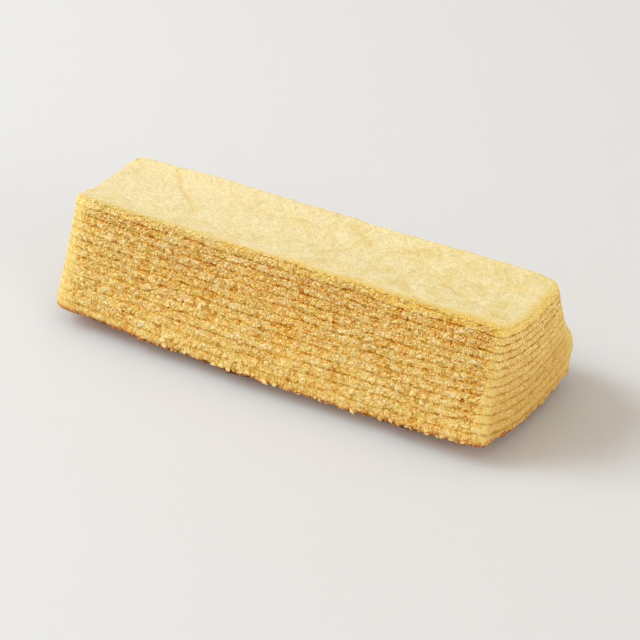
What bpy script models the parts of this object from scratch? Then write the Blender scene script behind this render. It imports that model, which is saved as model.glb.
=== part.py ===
"""Baumkuchen: one bar cut from the thick wall of a layered spit cake.

The bar is a slice of a hollow cylinder. Its top is the pale inner skin that lay against the spit,
its bottom is the browned outer crust, and the baked layers between them run as arcs about the
spit's axis, which lies above the bar and along it. The long faces and the ends are cuts.

The bar lies along X and rests on its crust, on the flat spot that its own weight presses. Z is up,
the origin lies under the bar's middle at the level it rests on, and every length is in metres.
The bar is first a straight block, whose depth is measured down from the skin. The block gets its
rounded corners and its torn crumb, and is then bent about the spit's axis.
"""

import math

import bmesh
import bpy
import numpy as np
from mathutils import Vector, noise

# Driving dimensions of the whole bar.
BAR_LENGTH = 0.1408
CORE_RADIUS = 0.0496  # from the spit's axis to the inner skin
THICKNESS = 0.0356  # from the skin to the crust, at the middle of the bar
LEFT_THICKNESS = 0.0332  # the wall is thinner towards both ends
RIGHT_THICKNESS = 0.0340
RIGHT_TILT = 0.0011  # at the right end the crust lies deeper at the back than at the front
HALF_ANGLE = math.radians(18.0)  # from the middle of the bar to each long cut face
LEFT_SPLAY = 0.0025  # the left cut leans: the crust reaches further out than the skin
END_SKEW = 0.0009  # both ends are cut slightly askew, longer at the back
SPOT_SINK = 0.00035  # how far the weight presses the round crust flat

# The baked layers, which grow a little thicker from the spit outwards.
LAYERS = 13
SKIN = 0.0005
FIRST_LAYER = 0.00235
LAYER_GROWTH = (THICKNESS - SKIN - LAYERS * FIRST_LAYER) / (LAYERS * (LAYERS - 1) / 2)

# The cut surfaces: a groove at each layer line, crumb torn by the knife, and long waves.
GROOVE_HALF_WIDTH = 0.0004
FACE_GROOVE, END_GROOVE = 0.00050, 0.00026
FACE_CRUMB, END_CRUMB = 0.00056, 0.00022
CRUMB_SIZE = 0.0017
FACE_WAVE, FACE_WAVE_LENGTH = 0.00045, 0.017
TOP_WAVE, TOP_WAVE_LENGTH = 0.00030, 0.015
CRUST_WAVE, CRUST_WAVE_LENGTH = 0.00045, 0.011
LINE_WANDER = 0.0009  # how far a crag strays along the bar from its place on the cutting grid

# The left cut tore: its front part stands proud, beside a shallow notch.
BUMP_HEIGHT, BUMP_MIDDLE, BUMP_HALF_WIDTH = 0.0015, -0.0125, 0.0060
RIGHT_CROWN = 0.0006  # the right cut is slightly convex
BACK_BULGE, BACK_BULGE_DEPTH, BACK_BULGE_REACH = 0.0015, 0.0270, 0.0060

# Rounded corners. A plan corner is named by its end and its long face.
SKIN_EDGE_RADIUS = 0.0008
CRUST_EDGE_RADIUS = 0.0016
LEFT_FRONT_RADIUS, RIGHT_FRONT_RADIUS = 0.0018, 0.0009
LEFT_BACK_RADIUS, RIGHT_BACK_RADIUS = 0.0072, 0.0042

# The cutting grid: close lines by each corner, even steps between them.
CORNER_LINES = (0.0006, 0.0016, 0.0036)
STEPS_ALONG = 36
STEPS_ACROSS = 6

HALF_LENGTH = BAR_LENGTH / 2
HALF_WIDTH = HALF_ANGLE * (CORE_RADIUS + THICKNESS / 2)  # of the straight block


def clear_scene():
    """Removes every object that the scene opens with."""
    for old in list(bpy.data.objects):
        bpy.data.objects.remove(old, do_unlink=True)


def layer_lines():
    """Depths of the lines between the layers: each layer is thicker than the last by one growth."""
    return [
        SKIN + count * FIRST_LAYER + LAYER_GROWTH * count * (count - 1) / 2
        for count in range(1, LAYERS)
    ]


def lines_between(half, steps):
    """Grid lines inside -half .. half: the corner lines at both ends, even steps between them."""
    inner = half - CORNER_LINES[-1]
    even = [-inner + 2 * inner * step / steps for step in range(steps + 1)]
    corners = [half - inset for inset in CORNER_LINES[:-1]]
    return [-place for place in corners] + even + corners


def depth_lines():
    """Grid lines down the block: the rounded edges, and the middle and shoulders of each groove."""
    lines = [SKIN_EDGE_RADIUS / 2, SKIN_EDGE_RADIUS]
    for middle in layer_lines():
        lines += [middle - GROOVE_HALF_WIDTH, middle, middle + GROOVE_HALF_WIDTH]
    return lines + [THICKNESS - CRUST_EDGE_RADIUS, THICKNESS - CRUST_EDGE_RADIUS / 2]


def cut_along(block, axis, places):
    """Cuts the block by planes square to one axis, which leaves an edge loop at each place."""
    square_to = Vector([float(index == axis) for index in range(3)])
    for place in places:
        bmesh.ops.bisect_plane(
            block,
            geom=block.verts[:] + block.edges[:] + block.faces[:],
            plane_co=square_to * place,
            plane_no=square_to,
        )


def straight_block():
    """A box of the bar's length, width and thickness, its top at Z 0, cut into the grid."""
    block = bmesh.new()
    bmesh.ops.create_cube(block, size=1.0)
    bmesh.ops.scale(block, verts=block.verts, vec=(BAR_LENGTH, 2 * HALF_WIDTH, THICKNESS))
    bmesh.ops.translate(block, verts=block.verts, vec=(0, 0, -THICKNESS / 2))
    cut_along(block, 0, lines_between(HALF_LENGTH, STEPS_ALONG))
    cut_along(block, 1, lines_between(HALF_WIDTH, STEPS_ACROSS))
    cut_along(block, 2, [-depth for depth in depth_lines()])
    return block


def lumps(points, size, seed):
    """Smooth noise in -1 .. 1 at each point, with lumps of about the given size."""
    shift = Vector((seed * 7.3, seed * 3.1, seed * 5.7))
    return np.array([noise.noise(Vector(point) / size + shift) for point in points])


def bell(value, middle, reach):
    return np.exp(-(((value - middle) / reach) ** 2))


def round_plan(x, y):
    """Rounds the four upright corners. In a corner's square the larger of the two offsets from the
    inner corner becomes the distance from it, so squares turn into quarter circles.
    Returns the new x and y, and the plan's outward direction."""
    radius = np.where(
        x < 0,
        np.where(y < 0, LEFT_FRONT_RADIUS, LEFT_BACK_RADIUS),
        np.where(y < 0, RIGHT_FRONT_RADIUS, RIGHT_BACK_RADIUS),
    )
    core_x = np.clip(x, radius - HALF_LENGTH, HALF_LENGTH - radius)
    core_y = np.clip(y, radius - HALF_WIDTH, HALF_WIDTH - radius)
    off_x, off_y = x - core_x, y - core_y
    reach = np.maximum(abs(off_x), abs(off_y))
    length = np.maximum(np.hypot(off_x, off_y), 1e-12)
    out_x, out_y = off_x / length, off_y / length
    return core_x + out_x * reach, core_y + out_y * reach, out_x, out_y


def round_edge(inset, depth, radius):
    """Rounds the edge where a flat face (depth 0) meets the sides (inset 0), by the same rule."""
    to_side = np.maximum(radius - inset, 0)
    to_flat = np.maximum(radius - depth, 0)
    reach = np.maximum(to_side, to_flat)
    scale = reach / np.maximum(np.hypot(to_side, to_flat), 1e-12)
    in_edge = (to_side > 0) & (to_flat > 0)
    return (
        np.where(in_edge, radius - to_side * scale, inset),
        np.where(in_edge, radius - to_flat * scale, depth),
    )


def torn_crumb(points, depth, on_end):
    """How far a cut surface lies inside the block: the layer grooves, the crumb and long waves."""
    groove = sum(bell(depth, line, GROOVE_HALF_WIDTH) for line in layer_lines())
    depth_of_groove = np.where(on_end, END_GROOVE, FACE_GROOVE)
    uneven = 0.7 + 0.6 * lumps(points, 4 * CRUMB_SIZE, seed=1)
    crumb = np.where(on_end, END_CRUMB, FACE_CRUMB) * lumps(points, CRUMB_SIZE, seed=2)
    wave = np.where(on_end, 0.5, 1.0) * FACE_WAVE * lumps(points, FACE_WAVE_LENGTH, seed=3)
    return groove * depth_of_groove * uneven + crumb + wave


def shape_block(points):
    """Gives the straight block its rounded corners and edges, its crumb and its uneven ends."""
    x, y, depth = points[:, 0], points[:, 1], -points[:, 2]
    inset = np.minimum(HALF_LENGTH - abs(x), HALF_WIDTH - abs(y))
    on_side = inset < 1e-7
    on_end = HALF_LENGTH - abs(x) < HALF_WIDTH - abs(y)
    on_face = on_side & ~on_end & (abs(x) < HALF_LENGTH - CORNER_LINES[-1])
    stray = LINE_WANDER * lumps(points, 2 * CRUMB_SIZE, seed=4)

    # Rounded corners, then the crumb, as one move inwards.
    x, y, out_x, out_y = round_plan(x, y)
    skin_inset, skin_depth = round_edge(inset, depth, SKIN_EDGE_RADIUS)
    crust_inset, crust_height = round_edge(inset, THICKNESS - depth, CRUST_EDGE_RADIUS)
    upper = depth < THICKNESS / 2
    inwards = np.where(upper, skin_inset, crust_inset) - inset
    inwards += np.where(on_side, torn_crumb(points, depth, on_end), 0)
    depth_now = np.where(upper, skin_depth, THICKNESS - crust_height)
    x_now = x - out_x * inwards + np.where(on_face, stray, 0)
    y_now = y - out_y * inwards

    # The unevenness of each end and of the back face.
    left, right = np.clip(-x / HALF_LENGTH, 0, 1) ** 24, np.clip(x / HALF_LENGTH, 0, 1) ** 24
    x_now -= left * BUMP_HEIGHT * bell(y, BUMP_MIDDLE, BUMP_HALF_WIDTH)
    x_now += right * RIGHT_CROWN * (1 - (y / HALF_WIDTH) ** 2)
    at_back = np.clip(y / HALF_WIDTH, 0, 1) ** 6
    y_now += at_back * BACK_BULGE * bell(depth, BACK_BULGE_DEPTH, BACK_BULGE_REACH)

    # The skin's and the crust's slow waves.
    depth_now += (depth < 1e-7) * TOP_WAVE * lumps(points, TOP_WAVE_LENGTH, seed=5)
    depth_now += (depth > THICKNESS - 1e-7) * CRUST_WAVE * lumps(points, CRUST_WAVE_LENGTH, seed=6)
    return np.stack([x_now, y_now, depth_now], axis=-1)


def bend(block_points):
    """Bends the block about the spit's axis: depth becomes radius, and width becomes angle.
    The wall's thickness falls off with the square of the distance towards each end."""
    x, y, depth = block_points.T
    along, across, down = x / HALF_LENGTH, y / HALF_WIDTH, depth / THICKNESS
    to_left, to_right = np.maximum(-along, 0), np.maximum(along, 0)
    wall = THICKNESS + (LEFT_THICKNESS - THICKNESS) * to_left**2
    wall += (RIGHT_THICKNESS - THICKNESS + RIGHT_TILT * across) * to_right**2
    radius = CORE_RADIUS + down * wall
    angle = across * HALF_ANGLE
    longer = END_SKEW * across + np.where(along < 0, LEFT_SPLAY * (down - 0.5), 0)
    height = CORE_RADIUS + THICKNESS - radius * np.cos(angle)
    return np.stack([x + along * longer, radius * np.sin(angle), height], axis=-1)


def rest_on_spot(points):
    """Sinks the bar by the flat spot's depth, flattens what is below, and centres the bar."""
    low, high = points.min(axis=0), points.max(axis=0)
    middle = (low + high) / 2
    height = np.maximum(points[:, 2] - SPOT_SINK, 0)
    return np.stack([points[:, 0] - middle[0], points[:, 1] - middle[1], height], axis=-1)


def cake_material():
    """Plain sponge: warm yellow, matt."""
    material = bpy.data.materials.new("sponge")
    material.use_nodes = True
    shader = material.node_tree.nodes["Principled BSDF"]
    shader.inputs["Base Color"].default_value = (0.72, 0.47, 0.16, 1)
    shader.inputs["Roughness"].default_value = 0.85
    shader.inputs["Metallic"].default_value = 0
    return material


def make_bar(collection):
    """The bar: the cut block, with its points moved to their places and its faces made triangles."""
    block = straight_block()
    straight = np.array([corner.co for corner in block.verts], dtype=float)
    placed = rest_on_spot(bend(shape_block(straight)))
    for corner, place in zip(block.verts, placed):
        corner.co = place
    bmesh.ops.triangulate(block, faces=block.faces[:], quad_method="SHORT_EDGE")
    bmesh.ops.recalc_face_normals(block, faces=block.faces[:])
    mesh = bpy.data.meshes.new("baumkuchen_bar")
    block.to_mesh(mesh)
    block.free()
    mesh.materials.append(cake_material())
    bar = bpy.data.objects.new("baumkuchen_bar", mesh)
    collection.objects.link(bar)
    return bar


clear_scene()
baumkuchen = bpy.data.collections.new("baumkuchen")
bpy.context.scene.collection.children.link(baumkuchen)
make_bar(baumkuchen)
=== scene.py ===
import math

import bpy
import numpy as np
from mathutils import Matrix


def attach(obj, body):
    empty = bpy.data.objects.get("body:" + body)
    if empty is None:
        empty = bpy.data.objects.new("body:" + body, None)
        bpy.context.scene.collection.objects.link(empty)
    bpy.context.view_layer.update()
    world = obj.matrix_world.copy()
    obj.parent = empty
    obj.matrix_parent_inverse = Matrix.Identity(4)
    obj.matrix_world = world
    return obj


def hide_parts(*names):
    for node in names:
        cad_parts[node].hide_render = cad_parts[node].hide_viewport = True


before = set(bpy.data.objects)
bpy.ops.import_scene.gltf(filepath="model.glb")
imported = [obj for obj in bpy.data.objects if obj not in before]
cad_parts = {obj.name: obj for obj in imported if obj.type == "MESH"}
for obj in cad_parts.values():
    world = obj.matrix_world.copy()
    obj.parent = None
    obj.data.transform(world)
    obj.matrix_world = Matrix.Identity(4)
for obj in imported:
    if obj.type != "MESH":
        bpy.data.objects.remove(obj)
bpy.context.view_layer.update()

# ---- The coats -----------------------------------------------------------------------------------
# One bar of spit cake, sliced from the thick wall of a ring. Batter was poured over a turning spit
# and grilled, coat upon coat, and each coat is a piece here, from the pale skin on top to the
# browned crust. A knife tore the crumb of the long faces and cut the ends cleaner.

BAR_LENGTH = 0.1408
CORE_RADIUS = 0.0496  # of the ring's inside
THICKNESS, LEFT_THICKNESS, RIGHT_THICKNESS = 0.0356, 0.0332, 0.0340
RIGHT_TILT = 0.0011  # how much thicker the right end is at its back than at its middle
HALF_ANGLE = math.radians(18.0)
LEFT_SPLAY = 0.0025  # how much farther the left end reaches at the crust than at the skin
END_SKEW = 0.0009  # how much farther both ends reach at the back than at the middle
SPOT_SINK = 0.00035  # how far the bar has settled onto the flat spot that it rests on
HALF_LENGTH = BAR_LENGTH / 2
HALF_WIDTH = HALF_ANGLE * (CORE_RADIUS + THICKNESS / 2)
BOX_MIDDLE = (-0.000463, 0.000212)  # of the bent bar, before it is centred on the frame's origin

LAYERS = 13
SKIN = 0.0005
FIRST_LAYER = 0.00235
LAYER_GROWTH = (THICKNESS - SKIN - LAYERS * FIRST_LAYER) / (LAYERS * (LAYERS - 1) / 2)
TOP_LAYER = -SKIN / FIRST_LAYER  # where the skin's top lies, counted in layers
COAT_PITCH = 0.0026  # a coat's usual thickness, for patterns that are laid out by layer

SKIN_EDGE_RADIUS, CRUST_EDGE_RADIUS = 0.0011, 0.0016
LEFT_FRONT_RADIUS, RIGHT_FRONT_RADIUS = 0.0040, 0.0024
LEFT_BACK_RADIUS, RIGHT_BACK_RADIUS = 0.0076, 0.0044

STEPS_ALONG, STEPS_ACROSS, STEPS_DOWN = 672, 132, 13
EASE_ALONG, EASE_ACROSS = 0.10, 0.20
SKIN_SKIP, CRUST_SKIP, HIDDEN_SKIP = 2, 3, 12  # the wall's columns that each cap's own grid skips
SKIN_ROWS = np.array([1.0, 0.75, 0.5, 0.25])  # the wall's rows on the skin's edge, from its top
TINY = 1e-9
NOISE_CELLS = 256


def smooth(value, start, end):
    """0 before start, 1 after end, and 3t^2 - 2t^3 between them."""
    t = np.clip((value - start) / (end - start), 0, 1)
    return t * t * (3 - 2 * t)


def bell(value, middle, reach):
    """exp(-t^2), with t the distance from the middle over the reach."""
    return np.exp(-(((value - middle) / reach) ** 2))


def waves(u, v, wave):
    """Smooth noise on a plane, for a wave given as its height, size and seed: a seeded random number
    in -1 .. 1 at each corner of a square grid of that size, joined across each square by 3t^2 - 2t^3
    in both directions, times the height."""
    height, size, seed = wave
    table = np.random.default_rng(seed).uniform(-1, 1, (NOISE_CELLS + 1, NOISE_CELLS + 1))
    column, row = np.floor(u / size), np.floor(v / size)
    s, t = u / size - column, v / size - row
    s, t = s * s * (3 - 2 * s), t * t * (3 - 2 * t)
    i, j = column.astype(int) % NOISE_CELLS, row.astype(int) % NOISE_CELLS
    near = table[i, j] * (1 - s) + table[i + 1, j] * s
    far = table[i, j + 1] * (1 - s) + table[i + 1, j + 1] * s
    return height * (near * (1 - t) + far * t)


def line_waves(along, number, wave):
    """The same noise along each layer line, where every line has a pattern of its own."""
    return waves(along, number * wave[1], wave)


def lumps(u, v, seed):
    """Lumps packed side by side. Each unit square of the plane holds one middle, at a seeded random
    place in it, and a point belongs to the nearest middle. Returns the gap between the distances to
    the two nearest middles, which is 0 on the crack between two lumps, and a random number in
    -1 .. 1 that is the lump's own."""
    draw = np.random.default_rng(seed)
    place = draw.uniform(0.0, 1.0, (NOISE_CELLS, NOISE_CELLS, 2))
    own = draw.uniform(-1, 1, (NOISE_CELLS, NOISE_CELLS))
    column, row = np.floor(u).astype(int), np.floor(v).astype(int)
    first = np.full(u.shape, np.inf)
    second = np.full(u.shape, np.inf)
    number = np.zeros(u.shape)
    for i in (-1, 0, 1):
        for j in (-1, 0, 1):
            cell = (column + i) % NOISE_CELLS, (row + j) % NOISE_CELLS
            du = column + i + place[cell][..., 0] - u
            dv = row + j + place[cell][..., 1] - v
            far = np.hypot(du, dv)
            nearer = far < first
            second = np.where(nearer, first, np.minimum(second, far))
            number = np.where(nearer, own[cell], number)
            first = np.where(nearer, far, first)
    return second - first, number


def depth_of(layer):
    """Depth below the skin of a place counted in layers: each layer is one growth thicker."""
    return SKIN + layer * FIRST_LAYER + LAYER_GROWTH * layer * (layer - 1) / 2


def nearest_line(layer):
    """The number of the line nearest to each point, whether it parts two coats, as the skin's top
    and the crust don't, and the distance to it."""
    number = np.round(layer)
    inner = (number > 0.5) & (number < LAYERS - 0.5)
    return number, inner, abs(layer - number) * (FIRST_LAYER + LAYER_GROWTH * layer)


def eased(steps, half, ease):
    """Grid lines from -half to half, closer near both ends: u - ease * sin(2 pi u) / (2 pi)."""
    u = np.linspace(0, 1, steps + 1)
    return half * (2 * (u - ease * np.sin(2 * np.pi * u) / (2 * np.pi)) - 1)


PLAN_FADE = 0.003  # how wide the line between two sides is, where the plan's direction fades


def round_plan(x, y):
    """Rounds the upright corners: in a corner's square the larger of the two offsets from the inner
    corner becomes the distance from it. Returns x, y and the plan's outward direction, which
    further in is that of the nearest side and fades on the line between two sides."""
    radius = np.where(
        x < 0,
        np.where(y < 0, LEFT_FRONT_RADIUS, LEFT_BACK_RADIUS),
        np.where(y < 0, RIGHT_FRONT_RADIUS, RIGHT_BACK_RADIUS),
    )
    core_x = np.clip(x, radius - HALF_LENGTH, HALF_LENGTH - radius)
    core_y = np.clip(y, radius - HALF_WIDTH, HALF_WIDTH - radius)
    off_x, off_y = x - core_x, y - core_y
    reach = np.maximum(abs(off_x), abs(off_y))
    length = np.hypot(off_x, off_y)
    in_core = length < TINY
    length = np.maximum(length, TINY)
    out_x, out_y = off_x / length, off_y / length
    px, py = core_x + out_x * reach, core_y + out_y * reach
    to_end, to_side = HALF_LENGTH - abs(x), HALF_WIDTH - abs(y)
    clear = smooth(abs(to_end - to_side), 0, PLAN_FADE)
    out_x = np.where(in_core, np.sign(x) * (to_end < to_side) * clear, out_x)
    out_y = np.where(in_core, np.sign(y) * (to_end >= to_side) * clear, out_y)
    return px, py, out_x, out_y


def round_edge(inset, depth, radius):
    """Rounds the edge between a flat face, at depth 0, and the sides, at inset 0, by that rule."""
    to_side = np.maximum(radius - inset, 0)
    to_flat = np.maximum(radius - depth, 0)
    scale = np.maximum(to_side, to_flat) / np.maximum(np.hypot(to_side, to_flat), TINY)
    in_edge = (to_side > 0) & (to_flat > 0)
    return (
        np.where(in_edge, radius - to_side * scale, inset),
        np.where(in_edge, radius - to_flat * scale, depth),
    )


def bend(x, y, depth):
    """Bends the straight block about the spit's axis: depth becomes radius, width becomes angle,
    and the wall thins with the square of the distance towards each end. Then the bar sinks by its
    flat spot, and what would lie below it is flat."""
    along, across, down = x / HALF_LENGTH, y / HALF_WIDTH, depth / THICKNESS
    to_left, to_right = np.maximum(-along, 0), np.maximum(along, 0)
    wall = THICKNESS + (LEFT_THICKNESS - THICKNESS) * to_left**2
    wall = wall + (RIGHT_THICKNESS - THICKNESS + RIGHT_TILT * across) * to_right**2
    radius = CORE_RADIUS + down * wall
    longer = END_SKEW * across + np.where(along < 0, LEFT_SPLAY * (down - 0.5), 0)
    bent_x = x + along * longer - BOX_MIDDLE[0]
    bent_y = radius * np.sin(across * HALF_ANGLE) - BOX_MIDDLE[1]
    height = CORE_RADIUS + THICKNESS - SPOT_SINK - radius * np.cos(across * HALF_ANGLE)
    return np.stack([bent_x, bent_y, np.maximum(height, 0)], axis=-1)


# The creases in the skin: each one's points as x and y, and its depth.
CREASES = (
    (((-0.0536, 0.0190), (-0.0466, 0.0083), (-0.0372, -0.0026)), 0.00026),
    (((-0.0325, -0.0075), (-0.0250, -0.0102), (-0.0180, -0.0116)), 0.00012),
    (((0.0060, 0.0178), (0.0100, 0.0150), (0.0160, 0.0102)), 0.00020),
    (((0.0230, 0.0098), (0.0280, 0.0130), (0.0340, 0.0180)), 0.00020),
    (((0.0425, 0.0010), (0.0519, -0.0040), (0.0667, -0.0098)), 0.00024),
)
CREASE_HALF_WIDTH = 0.0010
CREASE_STRAY_X, CREASE_STRAY_Y = (0.0005, 0.0030, 41), (0.0005, 0.0030, 42)
DEEP_CREASE = 0.00030  # the depth at which a crease would have its full colour


def crease_depth(x, y):
    """Depth of the creases at each point: a bell across the distance to each crease's line, which
    strays a little from side to side."""
    x = x + waves(x, y, CREASE_STRAY_X)
    y = y + waves(x, y, CREASE_STRAY_Y)
    depth = np.zeros_like(x)
    for points, deep in CREASES:
        nearest = np.full(x.shape, np.inf)
        for (ax, ay), (bx, by) in zip(points[:-1], points[1:]):
            length = math.hypot(bx - ax, by - ay)
            t = np.clip(((x - ax) * (bx - ax) + (y - ay) * (by - ay)) / length**2, 0, 1)
            nearest = np.minimum(nearest, np.hypot(x - ax - t * (bx - ax), y - ay - t * (by - ay)))
        depth = np.maximum(depth, deep * bell(nearest, 0, CREASE_HALF_WIDTH))
    return depth


def pillow(gap):
    """The rounded top of a lump: 0 at its cracks, 1 from half a lump's width inwards."""
    return smooth(gap, 0, 0.5)


# Torn crumb. For each size of lump: its length, how many go to a coat, the weights of its own height
# and of its rounded top, how far its pattern is shifted, and its seed.
TORN_LUMPS = (
    (0.00180, 2.0, 0.60, 0.60, 0, 12),
    (0.00110, 3.2, 0.40, 0.60, 40, 13),
    (0.00062, 5.2, 0.22, 0.38, 90, 14),
)
PILLOW_MEAN = 0.6  # of pillow() over a whole face
LUMP_STRAY, LUMP_STRAY_LAYERS = (0.00030, 0.0009, 8), (0.12, 0.0009, 9)
TORN_SWELL, ROUGH_PATCH = (0.40, 0.0032, 15), (0.5, 0.0085, 11)
TORN_ROUGHNESS, PATCH_ROUGHNESS = 0.00021, 0.00013
ROUGH_ABOVE, ROUGH_LOSS = 1.36, 0.050  # the roughness's share at the top, and its loss with each coat
DASH, SHORT_DASH, POCKET = (1.0, 0.0034, 16), (0.8, 0.0012, 17), (1.0, 0.0016, 18)
GROOVE_DEPTH, GROOVE_HALF_WIDTH, POCKET_HALF_WIDTH = 0.00055, 0.00018, 0.00016
PLAIN_GROOVE, DASH_GROOVE, POCKET_GROOVE = 0.08, 0.20, 0.50
GROOVE_ABOVE, GROOVE_LOSS = 1.12, 0.060


def torn_relief(along, layer, torn):
    """The relief of a torn long face. Returns its height over the mean plane in metres, the same as
    a share of its range, and how strongly the layer line shows. Lumps of three sizes lie packed on
    the face, slow waves make patches rougher, the layer lines are shallow grooves, and short
    pockets open along them where two coats came apart."""
    down = depth_of(layer)
    u = along + waves(along, down, LUMP_STRAY)
    v = layer + waves(along, down, LUMP_STRAY_LAYERS)
    body = waves(along, down, TORN_SWELL)
    for length, to_coat, own_weight, round_weight, shift, seed in TORN_LUMPS:
        gap, own = lumps(u / length + shift, v * to_coat, seed)
        body = body + own_weight * own + round_weight * (pillow(gap) - PILLOW_MEAN)

    number, inner, from_line = nearest_line(layer)
    run = line_waves(along, number, DASH) + line_waves(along, number, SHORT_DASH)
    slot = smooth(run, -0.7, 0.8) * inner
    pocket = smooth(line_waves(along, number, POCKET), 0.35, 0.90) * inner * torn
    groove = PLAIN_GROOVE + DASH_GROOVE * slot + POCKET_GROOVE * pocket
    groove = groove * bell(from_line, 0, GROOVE_HALF_WIDTH + POCKET_HALF_WIDTH * pocket)
    groove = groove * (GROOVE_ABOVE - GROOVE_LOSS * layer)
    rough = TORN_ROUGHNESS + PATCH_ROUGHNESS * (0.5 + waves(along, down, ROUGH_PATCH))
    rough = rough * (0.25 + 0.75 * torn) * (ROUGH_ABOVE - ROUGH_LOSS * layer)
    height = np.clip(0.5 + 0.24 * body - 0.5 * groove * pocket, 0, 1)
    return body * rough - groove * GROOVE_DEPTH, height, slot * (0.55 + 0.45 * torn) + 0.5 * pocket


CUT_LUMP_LENGTH, CUT_LUMP_HEIGHT, CUT_LUMP_SEED = 0.00080, 0.00060, 21
CUT_GRAIN, CUT_SWELL = (0.6, 0.00055, 22), (0.5, 0.0013, 23)
CUT_DASH, CUT_SHORT_DASH = (0.25, 0.0045, 24), (0.40, 0.0010, 25)
CUT_ROUGHNESS = 0.00005
CUT_GROOVE, CUT_GROOVE_HALF_WIDTH = 0.00010, 0.00024
CUT_TROUGH, CUT_TROUGH_HALF_WIDTH = 0.00009, 0.00060


def cut_relief(along, layer):
    """The relief of a cut end, in the same three measures: fine crumb with small open pores, where a
    lump fell out, and shallow even grooves at the layer lines."""
    down = depth_of(layer)
    gap, own = lumps(along / CUT_LUMP_LENGTH, down / CUT_LUMP_HEIGHT, CUT_LUMP_SEED)
    pore = (own > 0.45) * smooth(gap, 0.05, 0.5)
    grain = waves(along, down, CUT_GRAIN) + waves(along, down, CUT_SWELL) - 1.1 * pore
    number, inner, from_line = nearest_line(layer)
    slot = 0.95 + line_waves(along, number, CUT_DASH) + line_waves(along, number, CUT_SHORT_DASH)
    slot = slot * inner
    groove = CUT_GROOVE * bell(from_line, 0, CUT_GROOVE_HALF_WIDTH)
    groove = groove + CUT_TROUGH * bell(from_line, 0, CUT_TROUGH_HALF_WIDTH)
    return CUT_ROUGHNESS * grain - groove * slot, np.clip(0.5 + 0.28 * grain, 0, 1), slot


def coat_surface(number):
    """One coat of the straight block as a closed grid: a wall of rows round the bar, and two caps
    with coarser grids, whose border stitches to the wall's first and last rows. Returns x, y and
    layer for each point, and two lists of face arrays: those that show, and the caps that lie
    against another coat."""
    line_x = eased(STEPS_ALONG, HALF_LENGTH, EASE_ALONG)
    line_y = eased(STEPS_ACROSS, HALF_WIDTH, EASE_ACROSS)
    long_side, short_side = np.full(STEPS_ALONG, HALF_WIDTH), np.full(STEPS_ACROSS, HALF_LENGTH)
    ring_x = np.concatenate([line_x[:-1], short_side, line_x[:0:-1], -short_side])
    ring_y = np.concatenate([-long_side, line_y[:-1], long_side, line_y[:0:-1]])
    rows = np.linspace(number - 1, number, STEPS_DOWN + 1)
    if number == 1:
        rows = np.concatenate([TOP_LAYER * SKIN_ROWS, rows])
    upper_skip = SKIN_SKIP if number == 1 else HIDDEN_SKIP
    lower_skip = CRUST_SKIP if number == LAYERS else HIDDEN_SKIP
    ring, count = len(ring_x), len(rows)
    wall = np.arange(count * ring).reshape(count, ring)
    around = np.roll(wall, -1, axis=1)
    points = [np.stack([np.tile(ring_x, count), np.tile(ring_y, count), np.repeat(rows, ring)], axis=-1)]
    shown = [np.stack([wall[1:], around[1:], around[:-1], wall[:-1]], axis=-1).reshape(-1, 4)]
    hidden = []
    start = count * ring
    for row, skip, turn in ((0, upper_skip, 1), (count - 1, lower_skip, -1)):
        a, b = STEPS_ALONG // skip, STEPS_ACROSS // skip
        inner_x, inner_y = np.meshgrid(line_x[skip:-1:skip], line_y[skip:-1:skip], indexing="ij")
        edge = wall[row, ::skip]
        cap = np.zeros((a + 1, b + 1), int)
        cap[1:-1, 1:-1] = start + np.arange(inner_x.size).reshape(inner_x.shape)
        cap[:a, 0] = edge[:a]
        cap[a, :b] = edge[a : a + b]
        cap[a:0:-1, b] = edge[a + b : 2 * a + b]
        cap[0, b:0:-1] = edge[2 * a + b :]
        quad = np.stack([cap[:-1, :-1], cap[1:, :-1], cap[1:, 1:], cap[:-1, 1:]], axis=-1)
        faces = hidden if skip == HIDDEN_SKIP else shown
        faces.append(quad.reshape(-1, 4)[:, ::turn])
        whole_edge = np.append(wall[row], wall[row, 0])
        for step in range(1, skip):
            fan = np.stack([edge, whole_edge[step::skip], whole_edge[step + 1 :: skip]], axis=-1)
            faces.append(fan[:, ::turn])
        level = np.full(inner_x.size, rows[row])
        points.append(np.stack([inner_x.ravel(), inner_y.ravel(), level], axis=-1))
        start += inner_x.size
    return np.concatenate(points), shown, hidden


def distance_round(x, y, on_end):
    """Distance along the ring of faces, from the left end of the front, of the place on the nearest
    face beside each point."""
    length, width = 2 * HALF_LENGTH, 2 * HALF_WIDTH
    return np.select(
        [~on_end & (y < 0), on_end & (x > 0), ~on_end],
        [x + HALF_LENGTH, length + y + HALF_WIDTH, length + width + HALF_LENGTH - x],
        2 * length + width + HALF_WIDTH - y,
    )


# How the layer lines wander, with heights in coats: the first wave on the torn faces alone, the
# others on all. On the right end the lines also bow upwards, and beside it they bend to meet that.
SWEEP_WANDER, LONG_WANDER = (0.12, 0.0220, 30), (0.09, 0.0070, 31)
SHORT_WANDER, FINE_WANDER = (0.06, 0.0025, 32), (0.04, 0.0009, 33)
BOW, BOW_REACH = 0.22, 0.0080


def wandered(x, y, along, layer, torn, on_end):
    """How far each point of the layer lines strays, in coats: the sum of the waves and the bow,
    which is a parabola across the end, and none of it at the skin and the crust."""
    down = layer * COAT_PITCH
    wander = waves(along, down, LONG_WANDER) + waves(along, down, SHORT_WANDER)
    wander = wander + waves(along, down, FINE_WANDER) * (0.5 + 0.5 * torn)
    wander = wander + waves(along, down, SWEEP_WANDER) * torn
    beside = -0.5 * bell(HALF_LENGTH - abs(x), 0, BOW_REACH)
    wander = wander + BOW * np.where(on_end, 0.5 - (y / HALF_WIDTH) ** 2, beside) * (x > 0)
    return wander * smooth(layer, 0, 0.6) * smooth(LAYERS - layer, 0, 0.6)


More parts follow.
